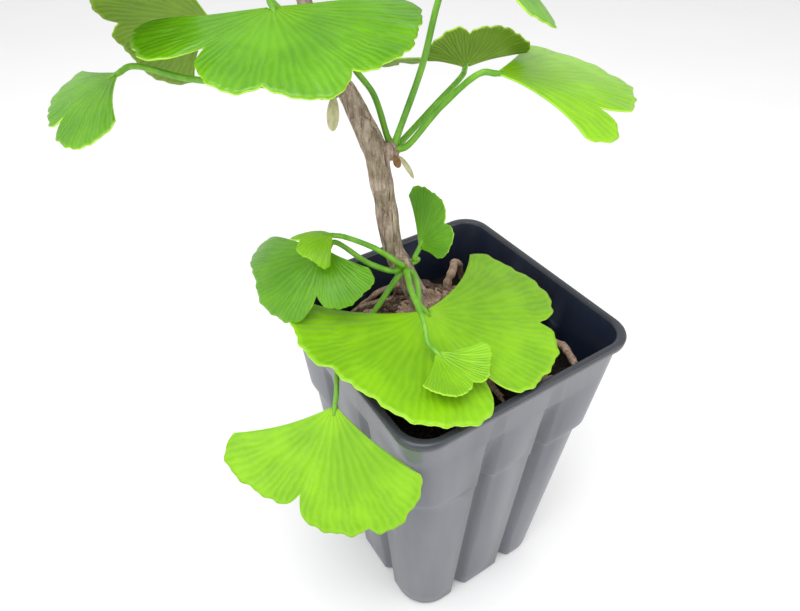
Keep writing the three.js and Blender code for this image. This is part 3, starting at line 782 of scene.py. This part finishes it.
def leaf_finish(name, deep, light, pale, roughness, vein_depth):
    finish = Finish(name, roughness, specular=0.4, Subsurface_Weight=0.18, Subsurface_Scale=0.0012)
    finish.shader.inputs["Subsurface Radius"].default_value = (0.6, 1.0, 0.2)
    veins, out = vein_lines(finish)
    patches = finish.noise(75.0, detail=4.0)
    tone = finish.mix(finish.between(patches, 0.35, 0.68), deep, light)
    tone = finish.mix(finish.math("MULTIPLY", veins, vein_depth), tone, pale)
    tone = finish.mix(finish.between(out, 0.955, 1.0, 0.0, 0.75), tone, pale)
    tone = finish.mix(finish.between(out, 0.22, 0.0, 0.0, 0.6), tone, pale)
    finish.colour(tone)
    finish.rough(finish.noise(300.0), roughness - 0.06, roughness + 0.08)
    fine = finish.bump(veins, 0.00022, 0.55)
    finish.bump(patches, 0.0008, 0.35, under=fine)
    return finish


upper_fresh = leaf_finish(
    "leaf_fresh_upper", (0.155, 0.38, 0.0), (0.22, 0.5, 0.0), (0.29, 0.58, 0.006), 0.4, 0.28
)
upper_deep = leaf_finish(
    "leaf_deep_upper", (0.07, 0.25, 0.0), (0.115, 0.345, 0.0), (0.18, 0.43, 0.006), 0.36, 0.26
)
under_side = leaf_finish(
    "leaf_underside", (0.11, 0.22, 0.008), (0.17, 0.3, 0.012), (0.25, 0.38, 0.03), 0.6, 0.35
)
# The margin's bright colours are painted light, standing in for light that shines through the thin edge.
margin_with_painted_light = leaf_finish(
    "leaf_margin_with_painted_light", (0.3, 0.62, 0.01), (0.38, 0.7, 0.02), (0.45, 0.75, 0.05), 0.45, 0.1
)
stalk_finish = Finish("leaf_stalk", 0.4, specular=0.45, Subsurface_Weight=0.1, Subsurface_Scale=0.001)
stalk_tone = stalk_finish.noise(260.0, stretch=(1, 1, 0.3))
stalk_finish.colour(stalk_finish.ramp(stalk_tone, (0.3, (0.09, 0.3, 0.01)), (0.7, (0.2, 0.47, 0.03))))
stalk_finish.bump(stalk_finish.noise(1200.0, stretch=(1, 1, 0.2)), 0.0002, 0.4)
print("leaf finishes: two for upper sides, one for undersides, margins and stalks")

# %% [markdown]
# ## Where the leaves grow
#
# Each leaf is described the way a botanist would: where its stalk meets its blade, which way the blade
# points and how it is tilted and rolled, how wide the fan opens on each side, how long it is, its
# notches, and how its tip and sides curl. These are the simple model's own values, so every fine leaf
# lies in the space of its simple one.

# %% Leaf table
LEAVES = {
    "leaf_low_front": {
        "spur": "low", "out": [-72, -28], "via": [[-14, 1, 160]], "base": [-15.5, -6, 155],
        "aim": [-93, -7, 6],
        "spread": [-122, 118], "size": 49, "notches": [[-5, 0.42, 6], [-63, 0.14, 4], [75, 0.12, 12]],
        "lean": 0.02, "wave": [0.04, 1], "droop": 0.002, "left": 0.002, "right": 0.001,
    },
    "leaf_low_folded": {
        "spur": "low", "out": [-115, 5], "via": [[-21, -5, 166], [-24, -17, 162]], "base": [-26, -27, 157.5],
        "aim": [-85, -12, 0], "spread": [-66, 56], "size": 19, "notches": [[-6, 0.2, 8]],
        "lean": 0, "wave": [0.05, 2], "droop": -0.01, "left": -0.02, "right": -0.02,
    },
    "leaf_low_hanging": {
        "spur": "low", "out": [-165, -35], "via": [[-31, 6, 151], [-50, -5, 150.5]], "base": [-58.5, -16, 141],
        "aim": [-135, -54, 0], "spread": [-60, 66], "size": 44, "notches": [[15, 0.22, 6], [-22, 0.08, 5]],
        "lean": 0, "wave": [0.04, 3], "droop": 0, "left": -0.001, "right": 0.002,
    },
    "leaf_low_left": {
        "spur": "low", "out": [192, 5], "via": [[-29, 9, 172]], "base": [-41, 16, 178], "aim": [-150, -16, 0],
        "spread": [-92, 105], "size": 28, "notches": [[-12, 0.4, 10]],
        "lean": -0.25, "wave": [0.05, 1], "droop": 0.032, "left": 0.03, "right": 0.02,
    },
    "leaf_low_young": {
        "spur": "low", "out": [215, 40], "via": [[-27, 8.5, 178]], "base": [-39, 15, 184],
        "aim": [175, 25, 0],
        "spread": [-70, 70], "size": 15, "notches": [[0, 0.25, 8]],
        "lean": 0, "wave": [0.04, 2], "droop": 0.05, "left": 0.11, "right": 0.11,
    },
    "leaf_low_upright": {
        "spur": "low", "out": [-10, 15], "via": [], "base": [-10, 6.5, 172.4], "aim": [0, 62, 0],
        "spread": [-48, 82], "size": 18.5, "notches": [[20, 0.15, 6]],
        "lean": 0.3, "wave": [0.04, 4], "droop": 0.01, "left": -0.02, "right": 0.03,
    },
    "leaf_mid_right": {
        "spur": "mid", "out": [-55, 25], "via": [[-7, 1, 226]], "base": [2, -11.5, 238], "aim": [-22, -7, 0],
        "spread": [-60, 52], "size": 48, "notches": [[26, 0.34, 7]],
        "lean": 0.25, "wave": [0.04, 5], "droop": 0.004, "left": 0.004, "right": 0.022,
    },
    "leaf_mid_right_back": {
        "spur": "mid", "out": [5, 30], "via": [[-3, 10, 222]], "base": [8, 9.5, 232], "aim": [-115, 52, 0],
        "spread": [-66, 66], "size": 19, "notches": [[5, 0.2, 5]],
        "lean": 0.1, "wave": [0.04, 6], "droop": -0.01, "left": 0.008, "right": 0.008,
    },
    "leaf_mid_inner": {
        "spur": "mid", "out": [95, 50], "via": [[-19, 20, 226]], "base": [-20, 25, 234], "aim": [22, -8, 18],
        "spread": [-46, 52], "size": 24, "notches": [[0, 0.25, 5]],
        "lean": 0, "wave": [0.05, 7], "droop": 0.012, "left": 0.01, "right": 0.01,
    },
    "leaf_mid_high": {
        "spur": "mid", "out": [-40, 75], "via": [[-9, 8.5, 236], [-5, 7, 254]], "base": [3, 3, 268],
        "aim": [-30, -30, 0],
        "spread": [-64, 64], "size": 31, "notches": [[0, 0.4, 5]],
        "lean": 0, "wave": [0.04, 8], "droop": 0.01, "left": 0.01, "right": 0.01,
    },
    "leaf_upper_front": {
        "spur": "upper", "out": [-130, 50], "via": [[-41, 15.5, 246]], "base": [-50.5, 16, 257],
        "aim": [-108, -8, 0],
        "spread": [-108, 98], "size": 37, "notches": [[52, 0.36, 7], [12, 0.1, 6], [-25, 0.14, 6]],
        "lean": 0.03, "wave": [0.04, 2], "droop": 0.006, "left": 0.006, "right": 0.006,
    },
    "leaf_upper_left_back": {
        "spur": "upper", "out": [160, 50], "via": [[-47, 29, 243]], "base": [-60, 36, 250],
        "aim": [150, 12, -58],
        "spread": [-70, 75], "size": 31, "notches": [[10, 0.2, 5]],
        "lean": 0, "wave": [0.04, 3], "droop": 0.008, "left": 0.005, "right": 0.005,
    },
    "leaf_upper_far_left": {
        "spur": "upper", "out": [160, -10], "via": [[-48, 29, 232], [-68, 42, 234]], "base": [-85, 52, 236],
        "aim": [180, -18, 0], "spread": [-66, 70], "size": 27, "notches": [[-4, 0.3, 5]],
        "lean": 0, "wave": [0.04, 4], "droop": 0.014, "left": 0.01, "right": 0.01,
    },
    "leaf_upper_left_high": {
        "spur": "top", "out": [180, 25], "via": [[-52, 31, 278], [-62, 34, 281]], "base": [-72, 38, 280],
        "aim": [175, -14, 0], "spread": [-72, 72], "size": 34, "notches": [[0, 0.3, 5]],
        "lean": 0, "wave": [0.04, 5], "droop": 0.014, "left": 0.01, "right": 0.01,
    },
    "leaf_top_back": {
        "spur": "top", "out": [75, 35], "via": [[-34, 42, 278]], "base": [-28, 54, 281], "aim": [70, -14, 0],
        "spread": [-76, 76], "size": 36, "notches": [[4, 0.35, 5]],
        "lean": 0, "wave": [0.04, 6], "droop": 0.012, "left": 0.008, "right": 0.008,
    },
    "leaf_top_right": {
        "spur": "top", "out": [-15, 45], "via": [[-28, 25, 284]], "base": [-18, 23, 290], "aim": [-12, -6, 0],
        "spread": [-72, 72], "size": 32, "notches": [[-3, 0.3, 5]],
        "lean": 0, "wave": [0.04, 7], "droop": 0.014, "left": 0.008, "right": 0.008,
    },
    "leaf_top_young": {
        "spur": "top", "out": [-120, 75], "via": [[-41, 25, 281]], "base": [-44, 22, 290],
        "aim": [-130, 40, 0],
        "spread": [-58, 58], "size": 18, "notches": [[0, 0.25, 6]],
        "lean": 0, "wave": [0.04, 8], "droop": 0.02, "left": 0.05, "right": 0.05,
    },
}
print(len(LEAVES), "leaves")

# %% [markdown]
# ## Shaping a blade
#
# A blade could be drawn as an outline and filled, but then its faces wouldn't follow the veins. Instead
# one rib is made by extruding a point outwards, and the rib is spun round the stalk's end. That gives a
# fan whose rows are known by their angle and share of the way out, and each vertex is then moved to its
# place on the curled blade. A Solidify modifier gives thickness and sets the underside and the rim to
# their own materials.

# %% Blade formulas
BLADE_START = 1.4
BLADE_THICKNESS = 0.45 * MM
STALK = 1.05
GAP_MM = 0.3


def blade_axes(bearing, tilt, roll):
    """A matrix whose y runs along the blade's middle line and whose z leaves its upper face."""
    y = direction(bearing, tilt)
    x = y.cross(Vector((0, 0, 1))).normalized()
    x.rotate(Matrix.Rotation(-math.radians(roll), 3, y))
    return Matrix((x, y, x.cross(y))).transposed().to_4x4()


def margin(leaf, angle):
    """How far the margin is from the stalk's end, in mm, at an angle from the middle line."""
    start, end = leaf["spread"]
    height, seed = leaf["wave"]
    a = math.radians(angle)
    r = leaf["size"] * (1 - leaf["lean"] * angle / 60)
    r *= 1 + height * math.sin(4 * a + seed) + 0.5 * height * math.sin(9 * a + 2 * seed)
    r *= 1 + 0.008 * math.sin(31 * a + seed) + 0.006 * math.sin(57 * a + 3 * seed)
    for at, depth, width in leaf["notches"]:
        r *= 1 - depth * math.exp(-abs(angle - at) / width)
    return r * (1 - 0.16 * math.exp(-min(angle - start, end - angle) / 6))


def curled(leaf, x, y, z):
    """Where a point of the flat blade goes once the tip droops and the sides roll."""
    across = leaf["left" if x < 0 else "right"] or 1e-6
    along = leaf["droop"] or 1e-6
    side = abs(x) * across
    out = math.copysign(math.sin(side) / across + z * math.sin(side), x)
    lift = z * math.cos(side) - (1 - math.cos(side)) / across
    bend = y * along
    ahead = math.sin(bend) / along + lift * math.sin(bend)
    return Vector((out, ahead, lift * math.cos(bend) - (1 - math.cos(bend)) / along))


# %% [markdown]
# The fan is finer than a leaf needs for its outline, so that its pleats and the small waves of its margin
# are real shape. Its u and v are written while each vertex's angle and share are still known.

# %% Blade mesh
RIB_STEPS = 26
FAN_STEP = 1.5


def fan(bm, leaf):
    """Spins a rib into a fan, then moves every vertex to its place and writes its u and v."""
    start, end = leaf["spread"]
    tip = bmesh.ops.create_vert(bm, co=(0, 1, 0))["vert"][0]
    for k in range(RIB_STEPS):
        out = bmesh.ops.extrude_vert_indiv(bm, verts=[tip])["verts"]
        tip = out[0]
        tip.co.y = 2 + k
    bmesh.ops.rotate(bm, verts=bm.verts[:], matrix=Matrix.Rotation(-math.radians(start), 3, "Z"))
    steps = round((end - start) / FAN_STEP)
    rib = bm.verts[:] + bm.edges[:]
    bmesh.ops.spin(bm, geom=rib, axis=(0, 0, 1), angle=math.radians(start - end), steps=steps)
    places = {}
    for vertex in bm.verts:
        x, y, _ = vertex.co
        angle = math.degrees(math.atan2(x, y))
        share = (math.hypot(x, y) - 1) / RIB_STEPS
        angle = min(max(angle, start), end)
        r = blend(BLADE_START, margin(leaf, angle), share)
        a = math.radians(angle) * blend(0.84, 1, share)
        ripple = noise.noise(Vector((leaf["size"], a * 3.0, share * 2.2)))
        ripple = ripple * 0.035 * leaf["size"] * share * share
        pleat = 0.12 * math.sin(30 * a + leaf["wave"][1]) * share
        vertex.co = curled(leaf, r * math.sin(a), r * math.cos(a), 0.6 * ripple + pleat)
        places[vertex] = (math.radians(angle) / FULL_TURN + 0.5, share)
    layer = bm.loops.layers.uv.new("blade")
    for face in bm.faces:
        for loop in face.loops:
            loop[layer].uv = places[loop.vert]


# %% [markdown]
# The rib starts one unit out, so that the fan has no pinched pole at the stalk. The stalk is grown along
# the line from the woody spur to the blade, thicker at its foot, and ends inside the blade's base. Blade
# and stalk are kept in one mesh, because together they stand for one simple piece.

# %% Make the leaves


def leaf_path(leaf):
    at, radius = SPURS[leaf["spur"]]
    spur, away = Vector(at), direction(*leaf["out"])
    base, ahead = Vector(leaf["base"]), direction(*leaf["aim"][:2])
    path = [spur + away * (radius - 0.6), spur + away * (radius + 2), *map(Vector, leaf["via"])]
    return [p * MM for p in path + [base - ahead * 4, base, base + ahead * 3.5]]


def make_leaf(name, leaf, upper):
    bm = bmesh.new()
    fan(bm, leaf)
    place = Matrix.Translation(Vector(leaf["base"]) * MM) @ blade_axes(*leaf["aim"]) @ Matrix.Scale(MM, 4)
    bmesh.ops.transform(bm, matrix=place, verts=bm.verts[:])
    upwards = blade_axes(*leaf["aim"]).col[2].to_3d()
    bm.normal_update()
    if sum((f.normal for f in bm.faces), Vector()).dot(upwards) < 0:
        bmesh.ops.reverse_faces(bm, faces=bm.faces[:])
    data = bpy.data.meshes.new(name)
    bm.to_mesh(data)
    bm.free()
    flat = bpy.data.objects.new(name + "_flat", data)
    bpy.context.scene.collection.objects.link(flat)
    for finish in (upper, under_side, margin_with_painted_light, stalk_finish):
        data.materials.append(finish.material)
    shell = flat.modifiers.new("thickness", "SOLIDIFY")
    shell.thickness = BLADE_THICKNESS
    shell.offset = 0
    shell.material_offset = 1
    shell.material_offset_rim = 2
    apply_modifiers(flat)
    bm = bmesh.new()
    bm.from_mesh(flat.data)
    bpy.data.objects.remove(flat)
    radii = [r * STALK * MM for r in (1.25, 1.0, 0.92, 0.86, 0.84, 0.5)]
    faces_before = len(bm.faces)
    grow(bm, leaf_path(leaf), radii, sides=14, steps=48, knots=0.06, seed=leaf["size"])
    bm.faces.ensure_lookup_table()
    stalk_faces = bm.faces[faces_before:]
    bmesh.ops.recalc_face_normals(bm, faces=stalk_faces)
    for face in stalk_faces:
        face.material_index = 3
    finishes = [upper, under_side, margin_with_painted_light, stalk_finish]
    piece(bm, name.replace("leaf", "veined_leaf", 1), finishes, [name])


FRESH = (
    "leaf_low_front", "leaf_low_folded", "leaf_low_hanging",
    "leaf_mid_right", "leaf_top_right", "leaf_low_young",
)
for name, leaf in LEAVES.items():
    make_leaf(name, leaf, upper_fresh if name in FRESH else upper_deep)

# %% [markdown]
# ## Bud scales
#
# Dry papery scales stay round the spurs after the leaves have opened. Each is a flattened, pointed drop.
# A sphere is squeezed into that shape and its surface is roughened a little.

# %% Bud scale finishes


def papery(name, dark, light):
    finish = Finish(name, 0.7, specular=0.3, Subsurface_Weight=0.1, Subsurface_Scale=0.001)
    fibres = finish.noise(700.0, detail=5.0, stretch=(1, 1, 0.25))
    finish.colour(finish.ramp(fibres, (0.3, dark), (0.7, light)))
    finish.bump(fibres, 0.0004, 0.6)
    return finish


brown_scale = papery("bud_scale_brown", (0.16, 0.075, 0.03), (0.36, 0.2, 0.1))
pale_scale = papery("bud_scale_pale", (0.42, 0.4, 0.2), (0.66, 0.62, 0.4))

# %% [markdown]
# Each scale starts on its spur and hangs more steeply towards its tip, as a dry scale does.

# %% Make the bud scales
BUD_SCALES = {
    "bud_scale_low": ("low", (-105, -62), 5, 2.6, brown_scale),
    "bud_scale_mid": ("mid", (-110, -15), 5, 2.8, brown_scale),
    "bud_scale_mid_pale": ("mid", (-40, -48), 9, 3.4, pale_scale),
    "bud_scale_upper": ("upper", (-150, -5), 5, 2.8, brown_scale),
    "bud_scale_upper_pale": ("upper", (-130, -50), 10, 4.2, pale_scale),
    "bud_scale_top": ("top", (-60, 10), 4.5, 2.6, brown_scale),
}
for k, (node, (spur, out, long, wide, finish)) in enumerate(BUD_SCALES.items()):
    at, radius = SPURS[spur]
    bm = bmesh.new()
    bmesh.ops.create_uvsphere(bm, u_segments=28, v_segments=20, radius=1.0)
    for vertex in bm.verts:
        x, y, z = vertex.co
        share = (1 - y) / 2
        fat = math.sqrt(share) * 0.4 + 0.6
        crease = 0.12 * noise.noise(Vector((x * 2.5 + k, y * 1.2, z)))
        vertex.co = (x * wide * fat / 2, long * share, z * 0.75 + crease - 0.018 * (long * share) ** 2)
    start = Vector(at) + direction(*out) * (radius - 0.1)
    place = Matrix.Scale(MM, 4) @ Matrix.Translation(start) @ blade_axes(*out, 0)
    bmesh.ops.transform(bm, matrix=place, verts=bm.verts[:])
    bmesh.ops.recalc_face_normals(bm, faces=bm.faces[:])
    piece(bm, node.replace("bud", "papery_bud", 1), [finish], [node])
